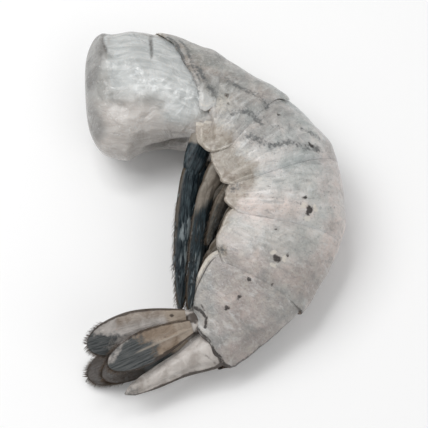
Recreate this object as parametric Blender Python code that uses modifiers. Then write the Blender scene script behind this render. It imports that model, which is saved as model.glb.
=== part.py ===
"""Raw tiger prawn without its head, curled on its right side. Metres, +Z up.

The prawn is first laid out straight, by its distance along the midline from the cut (s), its height
towards the back (d) and its place towards the left flank (l). body_point() then bends that layout into
the curl: the midline turns at each joint of the tail, in the plane of the floor, and the left flank
faces up. The flesh runs through six overlapping shell plates and shows at the cut and along the belly.
"""
import math

import bmesh
import bpy
import numpy as np
from mathutils import Matrix, Vector

# Driving dimensions, in metres
NECK = 0.0120                                              # bare flesh in front of the first plate
PLATES = (0.0110, 0.0118, 0.0115, 0.0103, 0.0119, 0.0165)  # the six plates along the midline
# Half sizes of the body at the cut and at the seven joints
HALF_WIDTHS = (0.0085, 0.0089, 0.0090, 0.0090, 0.0088, 0.0082, 0.0072, 0.0042)
BACK_HEIGHTS = (0.0133, 0.0128, 0.0115, 0.0113, 0.0124, 0.0119, 0.0098, 0.0064)
BELLY_DEPTHS = (0.0153, 0.0161, 0.0134, 0.0078, 0.0066, 0.0072, 0.0080, 0.0054)
FLAP_DEPTHS = (0.0160, 0.0150, 0.0134, 0.0132, 0.0138, 0.0140, 0.0126, 0.0080)
CUT_DOME = 0.0060              # how far the middle of the cut flesh stands in front of its rim
BELLY_POWER = 0.95             # how much the flesh narrows towards the belly
KEEL = 0.0009                  # ridge along the back of the last plates

# The curl, in degrees: heading of the neck, then the turn at each joint
NECK_HEADING = -3.0
TURNS = (24.0, 12.0, 18.0, 34.0, 30.0, 14.0, 26.0)
TURN_SPREAD = 0.0145           # length of midline over which each joint turns
CUT_AT = (-0.02682, 0.02553)   # where the midline starts, so that the box is centred on the origin

# Shell plates
SHELL = 0.00045
GAP = 0.0003                   # clearance between pieces that touch
TUCKED = GAP                   # height of a plate's inner face over the flesh, where it is tucked
LAPPED = 2 * GAP + SHELL       # the same where it laps over the next plate
OUTERMOST = LAPPED + SHELL
PRESS = 0.0004                 # how much the flank is flattened on the floor
LAP_BACK = 0.0014              # length by which a plate overlaps the next one, along the back
LAP_FLAP = 0.0034              # and at the side flaps, where the curl closes them up
FIRST_LAP_FLAP = 0.0062
RISE = 0.0040                  # length over which a plate lifts towards its lapping edge
FLAP_ANGLES = (122, 127, 134, 138, 137, 144)   # degrees from the back to the lower edge of each flap
FRONT_SLANT = 0.0100           # how far the first plate's front edge runs back down its sides

# Swimming legs: five pairs, the first the longest
LEG_ROOTS = ((0.0310, -0.0093), (0.0385, -0.0072), (0.0462, -0.0072), (0.0552, -0.0078), (0.0668, -0.0086))
LEG_STEMS = (0.0068, 0.0086, 0.0060, 0.0045, 0.0034)
LEG_BLADES = (0.0262, 0.0185, 0.0095, 0.0042, 0.0038)
LEG_HEADINGS = ((108, 94), (124, 98), (138, 108), (142, 114), (145, 122))   # of stem and blade
LEG_TWISTS = (28, 50, 72, 76, 80)             # turn of the width of each leg to the side, in degrees
LEG_SPREADS = (0.0052, 0.0052, 0.0049, 0.0045, 0.0041)    # from the middle of the belly
LEG_INWARD = 7.0               # degrees by which the tips close in on each other

# Tail fan
TELSON_LENGTH = 0.0222
TELSON_WIDTH = 0.0076
TELSON_DEPTH = 0.0050
EXOPOD_LENGTH = 0.0208
EXOPOD_WIDTH = 0.0092
ENDOPOD_LENGTH = 0.0186
ENDOPOD_WIDTH = 0.0076
BLADE = 0.0007                 # thickness of a tail blade
TELSON_UP = 0.0028
TELSON_YAW = -14.0
TAIL_BLADES = (
    # name, (along, towards the back, to the left), (yaw, pitch, roll), (length, width, thickness)
    ("endopod_left", (0.0012, -0.0024, 0.0050), (-6, 10, -48), (ENDOPOD_LENGTH, ENDOPOD_WIDTH, BLADE)),
    ("exopod_left", (0.0012, -0.0044, 0.0056), (-14, 14, -48), (EXOPOD_LENGTH, EXOPOD_WIDTH, BLADE)),
    ("endopod_right", (0.0022, -0.0030, -0.0022), (-6, 0, 82), (ENDOPOD_LENGTH, ENDOPOD_WIDTH, BLADE)),
    ("exopod_right", (0.0024, -0.0040, -0.0037), (-8, -1, 82), (EXOPOD_LENGTH, EXOPOD_WIDTH, BLADE)),
)
TAIL_BASES = (
    # name, start and end as (along, towards the back, to the left), radius
    ("uropod_left", (-0.0028, -0.0022, 0.0012), (0.0009, -0.0032, 0.0036), 0.0014),
    ("uropod_right", (-0.0028, -0.0022, -0.0012), (0.0020, -0.0034, -0.0028), 0.0014),
)

COLOURS = {
    "flesh": ((0.56, 0.57, 0.56, 1), 0.28),
    "shell": ((0.38, 0.37, 0.35, 1), 0.32),
    "leg": ((0.33, 0.27, 0.20, 1), 0.45),
    "leg_dark": ((0.035, 0.050, 0.058, 1), 0.35),
    "tail": ((0.19, 0.16, 0.12, 1), 0.38),
}

JOINTS = NECK + np.concatenate([[0.0], np.cumsum(PLATES)])
STATIONS = np.concatenate([[0.0], JOINTS])
TAIL_END = JOINTS[-1] + EXOPOD_LENGTH


def smooth(t):
    """0 before t = 0, 1 after t = 1, and an even rise between."""
    t = np.clip(t, 0.0, 1.0)
    return t * t * (3 - 2 * t)


def along(values, s):
    """A size that changes smoothly along the body, given at the cut and at each joint."""
    slopes = np.gradient(values, STATIONS)
    k = int(np.clip(np.searchsorted(STATIONS, s) - 1, 0, len(STATIONS) - 2))
    step = STATIONS[k + 1] - STATIONS[k]
    t = np.clip((s - STATIONS[k]) / step, 0.0, 1.0)
    h00, h10 = 2 * t**3 - 3 * t**2 + 1, t**3 - 2 * t**2 + t
    h01, h11 = 3 * t**2 - 2 * t**3, t**3 - t**2
    return (h00 * values[k] + h10 * step * slopes[k]
            + h01 * values[k + 1] + h11 * step * slopes[k + 1])


def heading(s):
    """Direction of the midline in degrees, turning clockwise from +X."""
    turned = [turn * smooth((s - joint) / TURN_SPREAD + 0.5) for turn, joint in zip(TURNS, JOINTS)]
    return NECK_HEADING + sum(turned)


PATH_S = np.arange(-0.010, TAIL_END + 0.020, 0.0001)
PATH_HEADING = np.radians(heading(PATH_S))
PATH_X = np.cumsum(np.cos(PATH_HEADING)) * 0.0001
PATH_Y = -np.cumsum(np.sin(PATH_HEADING)) * 0.0001
PATH_X += CUT_AT[0] - np.interp(0.0, PATH_S, PATH_X)
PATH_Y += CUT_AT[1] - np.interp(0.0, PATH_S, PATH_Y)


def midline_height(s):
    """Height of the midline over the floor, which lets the right flank rest along its whole length."""
    return along(HALF_WIDTHS, s) + OUTERMOST - PRESS


def body_point(s, d, l):
    """World place of a point of the straight layout."""
    turn = math.radians(float(heading(s)))
    x = np.interp(s, PATH_S, PATH_X) + d * math.sin(turn)
    y = np.interp(s, PATH_S, PATH_Y) + d * math.cos(turn)
    return Vector((float(x), float(y), float(midline_height(s) + l)))


def body_frame(s, d=0.0, l=0.0):
    """Matrix at a point of the body: X to the tail, Y to the left flank, Z to the back."""
    turn = math.radians(float(heading(s)))
    back = Vector((math.sin(turn), math.cos(turn), 0.0))
    rear = Vector((math.cos(turn), -math.sin(turn), 0.0))
    frame = Matrix((rear, Vector((0.0, 0.0, 1.0)), back)).transposed().to_4x4()
    frame.translation = body_point(s, d, l)
    return frame


def section(s, angle, over=0.0, flap=False):
    """Place on the body's outline at an angle from the back, a given height over the flesh.

    The outline is a superellipse with its own height above and below the midline, and its right
    side is held at the height of the floor.
    """
    upper = abs(angle) <= math.pi / 2
    width = along(HALF_WIDTHS, s) + over
    if upper:
        height, power = along(BACK_HEIGHTS, s) + over, 0.86
    elif flap:
        height, power = along(FLAP_DEPTHS, s) + over, 0.50
    else:
        height, power = along(BELLY_DEPTHS, s) + over, BELLY_POWER
    l = width * math.copysign(abs(math.sin(angle)) ** power, angle)
    d = height * math.cos(angle)
    keel = KEEL * smooth((s - JOINTS[3]) / (JOINTS[5] - JOINTS[3]))
    d += keel * math.exp(-((angle / 0.20) ** 2))
    floor = -midline_height(s) + OUTERMOST - over
    return body_point(s, d, max(l, floor))


def material(name):
    made = bpy.data.materials.get(name) or bpy.data.materials.new(name)
    made.use_nodes = True
    surface = made.node_tree.nodes["Principled BSDF"]
    colour, roughness = COLOURS[name]
    surface.inputs["Base Color"].default_value = colour
    surface.inputs["Roughness"].default_value = roughness
    surface.inputs["Metallic"].default_value = 0.0
    return made


def add_object(name, bm, slot, collection):
    """A named object in the prawn's collection, made from a bmesh."""
    mesh = bpy.data.meshes.new(name)
    bm.to_mesh(mesh)
    bm.free()
    mesh.shade_smooth()
    made = bpy.data.objects.new(name, mesh)
    made.data.materials.append(material(slot))
    collection.objects.link(made)
    return made


def thicken(made, thickness):
    """Gives an open surface its wall, on the side that its faces point to."""
    wall = made.modifiers.new("wall", "SOLIDIFY")
    wall.thickness = thickness
    wall.offset = 1.0
    wall.use_even_offset = True
    return made


def loft(rings):
    """Closed bmesh through rings of the same number of points, with a point at either end."""
    bm = bmesh.new()
    made = [[bm.verts.new(p) for p in ring] for ring in rings[1:-1]]
    for a, b in zip(made, made[1:]):
        for k in range(len(a)):
            bm.faces.new((a[k - 1], b[k - 1], b[k], a[k]))
    for tip, ring in ((rings[0], made[0]), (rings[-1], made[-1])):
        end = bm.verts.new(tip)
        for k in range(len(ring)):
            bm.faces.new((end, ring[k - 1], ring[k]))
    bmesh.ops.recalc_face_normals(bm, faces=bm.faces)
    return bm


# Flesh
FLESH_SIDES = 28
CUT_RINGS = 6
BODY_RINGS = 36


def scaled_ring(s, scale, shift=0.0):
    """A ring of the flesh shrunk towards its middle and moved along the midline."""
    middle = body_point(s, 0.0, 0.0)
    slide = body_frame(s).to_3x3() @ Vector((shift, 0.0, 0.0))
    angles = [2 * math.pi * (k / FLESH_SIDES) - math.pi for k in range(FLESH_SIDES)]
    return [middle + (section(s, angle) - middle) * scale + slide for angle in angles]


def flesh(collection):
    """One muscle from the domed cut to the root of the tail fan."""
    rings = [body_point(0.0, 0.0, 0.0)]
    for k in range(1, CUT_RINGS):
        reach = math.sin(math.pi / 2 * k / CUT_RINGS)
        s = CUT_DOME * (1 - (1 - reach**2.8) ** (1 / 2.8))
        rings.append(scaled_ring(s, reach))
    end = JOINTS[-1] - 0.0040
    for s in np.linspace(CUT_DOME, end, BODY_RINGS):
        rings.append(scaled_ring(float(s), 1.0))
    rings.append(scaled_ring(end, 0.80, 0.0006))
    rings.append(body_point(end, 0.0, 0.0) + body_frame(end).to_3x3() @ Vector((0.0009, 0.0, 0.0)))
    return add_object("flesh", loft(rings), "flesh", collection)


# Shell plates
PLATE_SIDES = 26
PLATE_STEPS = 8


def plate(number, collection):
    """A curved plate whose rear edge laps over the next plate and whose sides hang as rounded flaps."""
    front, rear = JOINTS[number - 1], JOINTS[number]
    last = number == len(PLATES)
    reach = math.radians(FLAP_ANGLES[number - 1])
    bm = bmesh.new()
    bmesh.ops.create_grid(bm, x_segments=PLATE_STEPS, y_segments=PLATE_SIDES, size=1.0)
    for vert in bm.verts:
        u, v = (vert.co.x + 1) / 2, -vert.co.y
        u = 1 - (1 - u) ** 1.15
        flap = FIRST_LAP_FLAP if number == 1 else LAP_FLAP
        lap = 0.0004 if last else LAP_BACK + (flap - LAP_BACK) * v * v
        begin = front + 0.0002 + (FRONT_SLANT * abs(v) ** 1.3 if number == 1 else 0.0)
        s = begin + (rear + lap - begin) * u
        corner = abs(2 * u - 1) ** 3.2
        angle = v * reach * (1 - 0.17 * corner)
        lifted = 0.0 if last else smooth((s - (rear - RISE)) / (RISE - 0.0006))
        over = TUCKED + (LAPPED - TUCKED) * lifted
        vert.co = section(s, angle, over, flap=True)
    made = add_object(f"shell_{number}", bm, "shell", collection)
    return thicken(made, SHELL)


# Legs and tail blades are lofts of flattened sections along a path
LEAF_SIDES = 12


def leaf(path, widths, depths, across, camber=0.0):
    """Closed loft along a path, with a lens-shaped section.

    The path gives places at even steps; widths and depths are the half sizes of the section there,
    and across is the direction of its width at each place.
    """
    rings = [path[0]]
    for k in range(1, len(path) - 1):
        run = (path[k + 1] - path[k - 1]).normalized()
        wide = (across[k] - run * across[k].dot(run)).normalized()
        thick = run.cross(wide)
        ring = []
        for j in range(LEAF_SIDES):
            turn = 2 * math.pi * j / LEAF_SIDES
            out = math.copysign(abs(math.cos(turn)) ** 0.8, math.cos(turn))
            up = math.sin(turn)
            lift = camber * widths[k] * (1 - out * out)
            ring.append(path[k] + wide * (widths[k] * out) + thick * (depths[k] * up + lift))
        rings.append(ring)
    rings.append(path[-1])
    return loft(rings)


# Swimming legs
LEG_STEPS = 17
LEG_STEM_WIDTHS = (0.0050, 0.0056, 0.0048, 0.0042, 0.0036)
LEG_BLADE_WIDTH = 0.0046


def leg(number, side, collection):
    """A stout stem that hangs from the belly, with a long tapering blade swept towards the tail."""
    k = number - 1
    s = LEG_ROOTS[k][0]
    place = body_point(*LEG_ROOTS[k], side * LEG_SPREADS[k])
    slope = (midline_height(s + 0.006) - midline_height(s)) / 0.006
    stem, whole = LEG_STEMS[k], LEG_STEMS[k] + LEG_BLADES[k]
    path, widths, depths, across = [], [], [], []
    fine = 20
    for step in range(LEG_STEPS * fine + 1):
        t = step / (LEG_STEPS * fine)
        bend = smooth((t * whole - 0.4 * stem) / (0.9 * stem))
        start, finish = (math.radians(a) for a in LEG_HEADINGS[k])
        turn = start + (finish - start) * bend
        level = Vector((math.cos(turn), -math.sin(turn), 0.0))
        fall = slope * math.cos(turn - math.radians(float(heading(s))))
        run = level + Vector((0.0, 0.0, fall - side * math.tan(math.radians(LEG_INWARD))))
        run.normalize()
        if step % fine == 0:
            at = t * whole
            if at < stem:
                width = LEG_STEM_WIDTHS[k] / 2 * (1 - 0.25 * (at / stem) ** 2)
                depth = 0.0016 * (1 - 0.3 * at / stem)
                width, depth = (size * math.sqrt(smooth(at / 0.0016)) for size in (width, depth))
            else:
                q = (at - stem) / (whole - stem)
                width = LEG_BLADE_WIDTH / 2 * (0.62 + 0.38 * math.sin(math.pi * min(q / 0.7, 1.0)))
                width *= math.sqrt(max(1 - q**2.2, 0.0))
                depth = 0.0009 * (1 - 0.55 * q)
            inward = Vector((math.sin(turn), math.cos(turn), 0.0))
            twist = math.radians(LEG_TWISTS[k])
            path.append(place.copy())
            widths.append(width)
            depths.append(depth)
            across.append(inward * math.cos(twist) + Vector((0.0, 0.0, -side * math.sin(twist))))
        place += run * (whole / (LEG_STEPS * fine))
    name = f"leg_{'left' if side > 0 else 'right'}_{number}"
    slot = "leg_dark" if number == 1 else "leg"
    return add_object(name, leaf(path, widths, depths, across), slot, collection)


# Tail fan
BLADE_STEPS = 13


def tail_blade(name, root, heads, size, collection, root_share=0.42, slot="tail"):
    """A flat blade with a rounded end.

    root is its start behind the last joint: (along, towards the back, towards the left).
    heads is (yaw within the floor plane towards the back, pitch to the left, roll about its length).
    size is (length, width, thickness).
    """
    yaw, pitch, roll = (math.radians(a) for a in heads)
    length, width, thick = size
    frame = body_frame(JOINTS[-1] + root[0], root[1], root[2])
    turned = frame @ (Matrix.Rotation(-yaw, 4, "Y") @ Matrix.Rotation(pitch, 4, "Z")
                      @ Matrix.Rotation(roll, 4, "X"))
    path, widths, depths, across = [], [], [], []
    for k in range(BLADE_STEPS + 1):
        t = k / BLADE_STEPS
        path.append(turned @ Vector((length * t, 0.0, 0.0)))
        grown = root_share + (1 - root_share) * math.sin(min(t / 0.62, 1.0) * math.pi / 2)
        ending = math.sqrt(max(1 - max((t - 0.45) / 0.55, 0.0) ** 2.6, 0.0))
        widths.append(width / 2 * grown * ending)
        depths.append(thick / 2 * (1.5 - 0.8 * t) * (1.0 if t > 0 else 0.5))
        across.append(turned.to_3x3() @ Vector((0.0, 1.0, 0.0)))
    return add_object(name, leaf(path, widths, depths, across, 0.06), slot, collection)


def tail_base(name, start, finish, radius, collection):
    """The short stout piece that carries one side's two blades."""
    ends = [body_point(JOINTS[-1] + p[0], p[1], p[2]) for p in (start, finish)]
    path, widths, depths, across = [], [], [], []
    for k in range(7):
        t = k / 6
        path.append(ends[0].lerp(ends[1], t))
        round_off = math.sqrt(max(1 - (2 * t - 1) ** 4, 0.0))
        widths.append(radius * (0.60 + 0.60 * t) * round_off)
        depths.append(radius * 0.80 * round_off)
        across.append(Vector((0.0, 0.0, 1.0)))
    return add_object(name, leaf(path, widths, depths, across), "tail", collection)


def telson(collection):
    """The pointed middle piece of the tail fan."""
    frame = body_frame(JOINTS[-1] - 0.0018, TELSON_UP, 0.0)
    turned = frame @ Matrix.Rotation(math.radians(-TELSON_YAW), 4, "Y")
    path, widths, depths, across = [], [], [], []
    for k in range(BLADE_STEPS + 1):
        t = k / BLADE_STEPS
        path.append(turned @ Vector((TELSON_LENGTH * t, 0.0, 0.0)))
        taper = (1 - t) ** 0.65
        start = 1.0 if t > 0 else 0.6
        widths.append(TELSON_WIDTH / 2 * taper * start)
        depths.append(TELSON_DEPTH / 2 * (0.25 + 0.75 * taper) * start)
        across.append(turned.to_3x3() @ Vector((0.0, 1.0, 0.0)))
    return add_object("telson", leaf(path, widths, depths, across), "tail", collection)


def main():
    for stale in list(bpy.data.objects):
        bpy.data.objects.remove(stale)
    collection = bpy.data.collections.new("raw_tiger_prawn")
    bpy.context.scene.collection.children.link(collection)
    flesh(collection)
    for number in range(1, len(PLATES) + 1):
        plate(number, collection)
    for number in range(1, len(LEG_BLADES) + 1):
        for side in (1, -1):
            leg(number, side, collection)
    telson(collection)
    for name, root, heads, size in TAIL_BLADES:
        tail_blade(name, root, heads, size, collection)
    for name, start, finish, radius in TAIL_BASES:
        tail_base(name, start, finish, radius, collection)


main()
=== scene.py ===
"""Looks of the raw tiger prawn: wet flesh, shell plates, swimming legs and tail fan, in metres.

Every piece is a surface worked out on the body's own layout: s along the midline from the cut, an angle
round the body from the back towards the left flank, and a height over the flesh. The midline is bent into
the curl in the plane of the table, as in the solids, so each piece lies where its solid does.

Every point carries two attributes. "layout" is its place on the piece, where the shell's third number says
how sheer it is, and "paint" holds four masks, which the finishes break up with noise.
"""
import math

import bpy
import numpy as np
from mathutils import Matrix, Vector


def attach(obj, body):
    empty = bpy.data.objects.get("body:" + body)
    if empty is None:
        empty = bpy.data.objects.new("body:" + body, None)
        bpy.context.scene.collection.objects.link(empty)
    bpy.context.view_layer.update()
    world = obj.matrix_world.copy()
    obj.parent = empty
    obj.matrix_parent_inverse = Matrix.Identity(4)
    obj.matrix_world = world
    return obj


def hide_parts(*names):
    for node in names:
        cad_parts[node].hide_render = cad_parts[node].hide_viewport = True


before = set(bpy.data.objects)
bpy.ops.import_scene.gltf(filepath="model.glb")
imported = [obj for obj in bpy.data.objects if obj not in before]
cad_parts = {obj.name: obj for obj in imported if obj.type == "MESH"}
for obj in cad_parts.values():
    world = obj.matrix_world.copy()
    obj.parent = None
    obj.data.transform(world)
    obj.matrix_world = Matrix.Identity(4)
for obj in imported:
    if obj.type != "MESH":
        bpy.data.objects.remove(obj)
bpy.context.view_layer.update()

# Body, as in the solids
NECK = 0.012
PLATES = (0.011, 0.0118, 0.0115, 0.0103, 0.0119, 0.0165)
HALF_WIDTHS = (0.0085, 0.0089, 0.009, 0.009, 0.0088, 0.0082, 0.0072, 0.0042)
BACK_HEIGHTS = (0.0133, 0.0128, 0.0115, 0.0113, 0.0124, 0.0119, 0.0098, 0.0064)
BELLY_DEPTHS = (0.0153, 0.0161, 0.0134, 0.0078, 0.0066, 0.0072, 0.008, 0.0054)
FLAP_DEPTHS = (0.016, 0.015, 0.0134, 0.0132, 0.0138, 0.014, 0.0126, 0.008)
CUT_DOME = 0.006
KEEL = 0.0009
NECK_HEADING = -3.0
TURNS = (24.0, 12.0, 18.0, 34.0, 30.0, 14.0, 26.0)
TURN_SPREAD = 0.0145
CUT_AT = (-0.02682, 0.02553)
SHELL = 0.00045
GAP = 0.0003
TUCKED = GAP
LAPPED = 2 * GAP + SHELL
OUTERMOST = LAPPED + SHELL
PRESS = 0.0004
LAP_BACK = 0.0014
LAP_FLAP = 0.0034
FIRST_LAP_FLAP = 0.0062
RISE = 0.004
FLAP_ANGLES = (104, 134, 143, 140, 137, 144)
FLAP_ROUNDING = (0.1, 0.13, 0.08, 0.13, 0.13, 0.17)
# Front edge of the second plate's flap: angle in degrees, and along
FLAP_FRONT = ((0, 100, 108, 116, 124, 134), (0.06, 0.033, 0.0322, 0.0314, 0.03, 0.0276))

SEAT = 0.0003                 # how much closer the thin rear edges lie than the solids' do
PLATE_ROWS, PLATE_COLUMNS = 110, 220
METRES_PER_RADIAN = 0.0105     # round the body, on the whole
MM_PER_DEGREE = 0.19
# Where the flesh behind the flaps ends: along, and angle in degrees
FLESH_LINE = ((0.0, 0.023, 0.032, 0.036, 0.04, 0.046, 0.05, 0.058, 0.07, 0.086),
              (150, 124, 108, 105, 112, 104, 108, 124, 132, 136))
# Along the neck's belly seam the white mask paints a highlight line, and painted shade darkens the belly
# below it
BELLY_SEAM = ((0.013, 0.021, 0.028, 0.0314), (168, 160, 142, 121))   # pale line along the neck's belly

# Swimming legs and tail fan, as in the solids but for the longer second pair of blades
LEG_ROOTS = ((0.031, -0.0093), (0.0385, -0.0072), (0.0462, -0.0072), (0.0552, -0.0078), (0.0668, -0.0086))
LEG_STEMS = (0.0068, 0.0086, 0.006, 0.0045, 0.0034)
LEG_BLADES = (0.0262, 0.02368, 0.0095, 0.0042, 0.0038)
LEG_HEADINGS = ((108, 94), (124, 98), (138, 108), (142, 114), (145, 122))
LEG_TWISTS = (28, 50, 72, 76, 80)
LEG_SPREADS = (0.0052, 0.0052, 0.0049, 0.0045, 0.0041)
LEG_INWARD = 7.0
LEG_TUCK = 0.0034              # how far the roots reach into the flesh
LEG_STEPS = 440
LEG_STEM_WIDTHS = (0.005, 0.0056, 0.0048, 0.0042, 0.0036)
LEG_BLADE_WIDTH = 0.0046
TELSON_LENGTH = 0.0222
TELSON_SHOWN = 0.965           # share of the solid's length
TELSON_WIDTH = 0.0076
TELSON_DEPTH = 0.005
TELSON_UP = 0.0028
TELSON_YAW = -14.0
EXOPOD = (0.0208, 0.0092)
ENDOPOD = (0.0186, 0.0076)
BLADE = 0.0007
TAIL_BLADES = (
    # name, (along, towards the back, to the left), (yaw, pitch, roll), (length, width)
    ("endopod_left", (0.0012, -0.0024, 0.005), (-6, 10, -48), ENDOPOD),
    ("exopod_left", (0.0012, -0.0044, 0.0056), (-14, 14, -48), EXOPOD),
    ("endopod_right", (0.0022, -0.003, -0.0022), (-6, 0, 82), ENDOPOD),
    ("exopod_right", (0.0024, -0.004, -0.0037), (-8, -1, 82), EXOPOD),
)
TAIL_BASES = (
    # name, start and end as (along, towards the back, to the left), radius
    ("uropod_left", (-0.0034, -0.0024, 0.0012), (0.0022, -0.0042, 0.0042), 0.0017),
    ("uropod_right", (-0.0028, -0.0022, -0.0012), (0.0022, -0.0036, -0.0028), 0.0014),
)

JOINTS = NECK + np.concatenate([[0.0], np.cumsum(PLATES)])
STATIONS = np.concatenate([[0.0], JOINTS])
TAIL_END = JOINTS[-1] + EXOPOD[0]

# Marks on the shell: (along in mm, angle in degrees) from end to end, half width in mm, strength
STREAKS = (
    (((17.9, 62), (20.7, 75), (23.8, 87), (25.3, 97)), 0.3, 1.0),
    (((19.6, 58), (21.4, 67), (23.2, 75)), 0.22, 0.8),
    (((22.2, 70), (25.5, 81), (28.8, 89), (29.8, 83)), 0.34, 1.0),
    (((28.4, 65), (31.7, 62), (34.8, 61), (37.2, 63)), 0.34, 0.9),
    (((26.0, 60), (30.0, 54), (34.0, 50)), 0.22, 0.6),
    (((33.4, 93), (35.3, 82), (38.8, 82)), 0.36, 1.0),
    (((39.5, 97), (41.9, 92), (43.9, 85), (44.6, 72), (46.0, 62), (46.7, 45)), 0.36, 1.0),
    (((43.2, 51), (45.0, 38)), 0.26, 1.0),
    (((36.4, 76), (40.0, 74), (42.6, 66)), 0.24, 0.6),
    (((53.6, 122), (54.5, 105), (55.3, 79), (55.7, 61), (54.6, 35)), 0.14, 0.6),
    (((58.5, 82), (60.6, 60), (60.9, 42)), 0.1, 0.3),
)
SPOTS = (
    # along in mm, angle in degrees, radius in mm, strength
    (56.2, 64, 0.62, 1.0), (66.0, 74, 0.72, 1.0), (71.9, 87, 0.42, 1.0), (75.7, 84, 0.46, 1.0),
    (78.6, 88, 0.46, 1.0), (46.0, 53, 0.4, 0.9), (64.4, 66, 0.34, 0.8), (54.2, 69, 0.34, 0.9),
    (52.0, 100, 0.3, 0.6), (70.2, 62, 0.32, 0.7), (61.0, 88, 0.3, 0.7), (39.2, 60, 0.34, 0.8),
    (29.9, 80, 0.5, 0.9), (31.2, 87, 0.36, 0.8),
)
CRUSTS = (
    # brown-black marks, given like the streaks
    (((82.6, 122), (82.2, 112), (82.5, 101), (83.9, 94)), 0.34, 1.0),
    (((81.2, 116), (81.6, 108)), 0.22, 0.8),
)
FLECKED_FROM = 0.6             # radius in mm from which a spot has pale flecks round it
# Brown patches at the flaps' corners: mm, degrees, radius in mm
BROWNED = ((51.2, 129, 1.7), (70.0, 124, 1.5))


# The layout and the curl

def smooth(t):
    """0 before t = 0, 1 after t = 1, and 3t^2 - 2t^3 between."""
    t = np.clip(t, 0.0, 1.0)
    return t * t * (3 - 2 * t)


def hump(x, middle, width):
    """A bell: e to the power of minus the square of (x - middle) / width."""
    return np.exp(-(((x - middle) / width) ** 2))


def rise(x, start, over):
    """0 up to the start, and 1 from start + over on."""
    return smooth((x - start) / over)


def fall(x, end, over):
    """1 down to end - over, and 0 from the end on."""
    return smooth((end - x) / over)


def span(x, start, rising, end, falling):
    """A rise times a fall: 1 between them and 0 outside."""
    return rise(x, start, rising) * fall(x, end, falling)


def most(*fields):
    """The largest of several fields at each point."""
    return np.maximum.reduce(np.broadcast_arrays(*fields))


def stacked(*fields):
    """Fields side by side along a last axis."""
    return np.stack(np.broadcast_arrays(*fields), -1)


def unit(ways):
    """Directions at length 1."""
    return ways / (np.linalg.norm(ways, axis=1, keepdims=True) + 1e-12)


def along(values, s):
    """A size at s: cubic pieces through the values at the stations, with the slopes of their neighbours."""
    slopes = np.gradient(values, STATIONS)
    values = np.asarray(values)
    k = np.clip(np.searchsorted(STATIONS, s) - 1, 0, len(STATIONS) - 2)
    step = STATIONS[k + 1] - STATIONS[k]
    t = np.clip((s - STATIONS[k]) / step, 0.0, 1.0)
    return ((2 * t**3 - 3 * t**2 + 1) * values[k] + (t**3 - 2 * t**2 + t) * step * slopes[k]
            + (3 * t**2 - 2 * t**3) * values[k + 1] + (t**3 - t**2) * step * slopes[k + 1])


def heading(s):
    """Direction of the midline in degrees: the neck's, plus each joint's turn as a smooth step round it."""
    return NECK_HEADING + sum(turn * smooth((s - joint) / TURN_SPREAD + 0.5)
                              for turn, joint in zip(TURNS, JOINTS))


PATH_STEP = 0.0001
PATH_S = np.arange(-0.01, TAIL_END + 0.02, PATH_STEP)
PATH_HEADING = np.radians(heading(PATH_S))
PATH_X = np.cumsum(np.cos(PATH_HEADING)) * PATH_STEP
PATH_Y = -np.cumsum(np.sin(PATH_HEADING)) * PATH_STEP
PATH_X += CUT_AT[0] - np.interp(0.0, PATH_S, PATH_X)
PATH_Y += CUT_AT[1] - np.interp(0.0, PATH_S, PATH_Y)


def midline_height(s):
    """Half the body's width over its plates, a little pressed, so that the right flank lies on the table."""
    return along(HALF_WIDTHS, s) + OUTERMOST - PRESS


def curl(s, d, l):
    """World place of layout points: the midline's place at s, plus d along the back's way, plus l up."""
    turn = np.radians(heading(s))
    x = np.interp(s, PATH_S, PATH_X) + d * np.sin(turn)
    y = np.interp(s, PATH_S, PATH_Y) + d * np.cos(turn)
    return stacked(x, y, midline_height(s) + l)


def body_skin(s, angle, over, relief=0.0, flap=False):
    """Body surface: a superellipse with its own heights above and below the midline.

    Sideways it is (half width + over) times the sine of the angle to a power, and towards the back it is
    (height + over) times the cosine, plus a low keel over the last plates. Relief adds to the height over
    the flesh, and the right side is held at the table.
    """
    s, angle, over, relief = np.broadcast_arrays(s, angle, over, relief)
    upper = np.abs(angle) <= np.pi / 2
    raised = over + relief
    width = along(HALF_WIDTHS, s) + raised
    height = np.where(upper, along(BACK_HEIGHTS, s), along(FLAP_DEPTHS if flap else BELLY_DEPTHS, s)) + raised
    droop = 0.86 - 0.34 * smooth((np.abs(angle) - np.pi / 2) / 0.7)
    power = np.where(upper, 0.86, droop if flap else 0.95)
    l = width * np.sign(np.sin(angle)) * np.abs(np.sin(angle)) ** power
    keel = KEEL * smooth((s - JOINTS[3]) / (JOINTS[5] - JOINTS[3]))
    d = height * np.cos(angle) + keel * hump(angle, 0.0, 0.2)
    return curl(s, d, np.maximum(l, -midline_height(s) + OUTERMOST - over))


def lumps(points, size, seed):
    """Soft uneven relief, mostly within 1 of 0: 1.8 times the mean of nine sine waves in fixed directions."""
    rng = np.random.default_rng(seed)
    ways = rng.normal(size=(3, 9))
    ways /= np.linalg.norm(ways, axis=0)
    ways *= rng.uniform(0.7, 1.4, 9)
    waves = np.sin(points @ ways * (2 * np.pi / size) + rng.uniform(0, 2 * np.pi, 9))
    return waves.mean(-1) * 1.8


# Meshes

def grid_quads(rows, columns, closed):
    """Quads between points numbered row by row; closed joins the last column to the first."""
    row = np.arange(rows - 1)[:, None] * columns
    here = np.arange(columns if closed else columns - 1)[None, :]
    beside = (here + 1) % columns
    return stacked(row + here, row + beside, row + columns + beside, row + columns + here).reshape(-1, 4)


def outwards(points, quads, fans):
    """Turns a closed skin's faces so that the volume inside them counts as positive."""
    corners = np.concatenate([quads[:, [0, 1, 2]], quads[:, [0, 2, 3]], fans])
    a, b, c = (points[corners[:, k]] - points.mean(0) for k in range(3))
    if np.einsum("ij,ij->i", a, np.cross(b, c)).sum() < 0:
        return quads[:, ::-1], fans[:, ::-1]
    return quads, fans


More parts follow.
